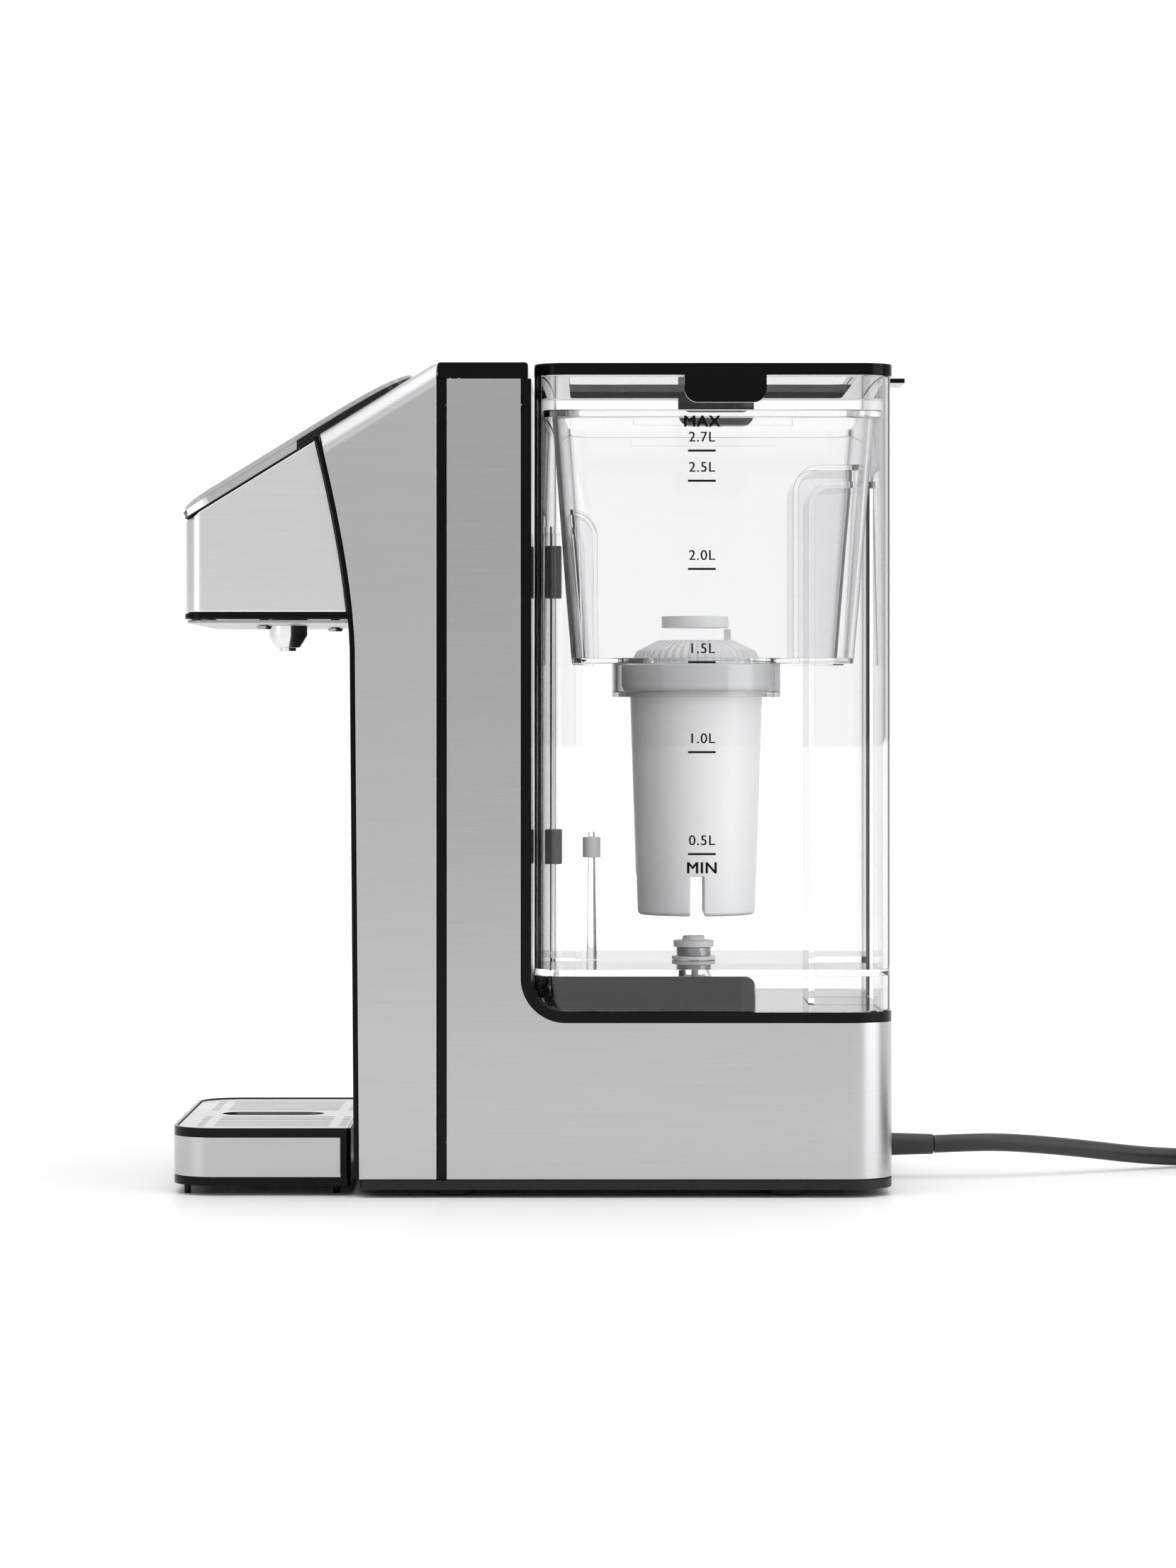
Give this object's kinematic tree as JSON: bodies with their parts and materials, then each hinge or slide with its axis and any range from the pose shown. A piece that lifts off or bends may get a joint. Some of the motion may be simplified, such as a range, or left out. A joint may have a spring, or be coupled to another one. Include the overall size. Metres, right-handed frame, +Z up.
{
  "type": "countertop water dispenser",
  "caption": "Countertop hot water dispenser: steel base and tower, overhanging spout head with sloping touch panel, drip tray, clear lift-off filter tank.",
  "frame": {"origin": "centre of the footprint on the surface it stands on, without the free lead", "axes": "+Z up, -Y the side with the spout and drip tray, +X the user's right when facing -Y to +Y"},
  "size_m": [0.15, 0.5298, 0.315],
  "materials": {
    "brushed_steel": "fine horizontal brush",
    "satin_metal": "satin, fine vertical grain",
    "grid_steel": "brushed plate with pressed slots",
    "chrome_trim": "polished",
    "panel_gloss": "mirror-like touch panel",
    "black_gloss": "piano black",
    "black_plastic": "fine moulded texture",
    "silver_plastic": "satin silver",
    "tank_clear": "clear moulded copolyester",
    "hopper_clear": "clear moulded copolyester",
    "filter_white": "translucent white polypropylene",
    "screw_steel": "plain bright steel",
    "pump_grey": "moulded",
    "silicone": "translucent silicone",
    "board_green": "solder-masked board",
    "foot_rubber": "matt",
    "lead_rubber": "smooth sheath"
  },
  "bodies": {
    "housing": {"base_plate": "black_plastic", "foot_front_left": "foot_rubber", "foot_front_right": "foot_rubber", "foot_rear_left": "foot_rubber", "foot_rear_right": "foot_rubber", "base_screw_front_left": "screw_steel", "base_screw_front_right": "screw_steel", "base_screw_rear_left": "screw_steel", "base_screw_rear_right": "screw_steel", "steel_wrap": "brushed_steel", "tank_cradle": "black_gloss", "tower_front": "black_gloss", "wing_left": "satin_metal", "wing_right": "satin_metal", "joint_strip_left": "black_gloss", "joint_strip_right": "black_gloss", "top_cap": "black_gloss", "head_shell": "brushed_steel", "head_band": "black_gloss", "head_pan": "silver_plastic", "spout_screw_1": "screw_steel", "spout_screw_2": "screw_steel", "nozzle": "chrome_trim", "head_deck": "black_plastic", "panel_bezel": "chrome_trim", "panel_glass": "panel_gloss", "control_board": "board_green", "heater": "screw_steel", "thermal_cutout": "black_plastic", "pump": "pump_grey", "flow_meter": "filter_white", "power_board": "board_green", "inlet_tube": "silicone", "link_tube": "silicone", "riser_tube": "silicone", "spout_tube": "silicone", "dock_housing": "black_gloss", "dock_seal": "silicone", "tank_catch": "black_plastic", "level_sensor": "black_plastic", "strain_relief": "lead_rubber", "cord_run": "lead_rubber", "cord_coil": "lead_rubber", "cord_tail": "lead_rubber", "plug": "lead_rubber"},
    "tank": {"tank": "tank_clear", "valve_guide": "filter_white", "valve_spring": "screw_steel", "float_rod": "tank_clear"},
    "valve": {"valve_poppet": "filter_white"},
    "float": {"level_float": "filter_white"},
    "hopper": {"hopper": "hopper_clear"},
    "lid": {"lid_frame": "black_gloss", "lid_window": "hopper_clear"},
    "filter": {"filter_body": "filter_white", "filter_cap": "filter_white"},
    "pull_ring": {"pull_ring": "filter_white"},
    "drip_tray": {"tray_tub": "black_plastic", "tray_band": "brushed_steel"},
    "drip_grid": {"drip_grid": "grid_steel"}
  },
  "joints": [
    {"name": "tank_lift", "type": "slide", "parent": "housing", "child": "tank", "axis": [0, 0, 1], "range_m": [0, 0.26]},
    {"name": "valve_slide", "type": "slide", "parent": "tank", "child": "valve", "axis": [0, 0, 1], "range_m": [-0.002, 0], "stiffness_N_per_m": 60, "deforming": ["valve_spring"]},
    {"name": "float_slide", "type": "slide", "parent": "tank", "child": "float", "axis": [0, 0, 1], "range_m": [-0.03, 0]},
    {"name": "hopper_lift", "type": "slide", "parent": "tank", "child": "hopper", "axis": [0, 0, 1], "range_m": [0, 0.12]},
    {"name": "lid_hinge", "type": "hinge", "parent": "hopper", "child": "lid", "pos_m": [0, -0.0033, 0.315], "axis": [1, 0, 0], "range_deg": [0, 95]},
    {"name": "filter_lift", "type": "slide", "parent": "hopper", "child": "filter", "axis": [0, 0, 1], "range_m": [0, 0.062]},
    {"name": "pull_ring_hinge", "type": "hinge", "parent": "filter", "child": "pull_ring", "pos_m": [0, 0.072, 0.217], "axis": [1, 0, 0], "range_deg": [-75, 0]},
    {"name": "tray_slide", "type": "slide", "parent": "housing", "child": "drip_tray", "axis": [0, -1, 0], "range_m": [0, 0.1]},
    {"name": "grid_lift", "type": "slide", "parent": "drip_tray", "child": "drip_grid", "axis": [0, 0, 1], "range_m": [0, 0.04]}
  ]
}
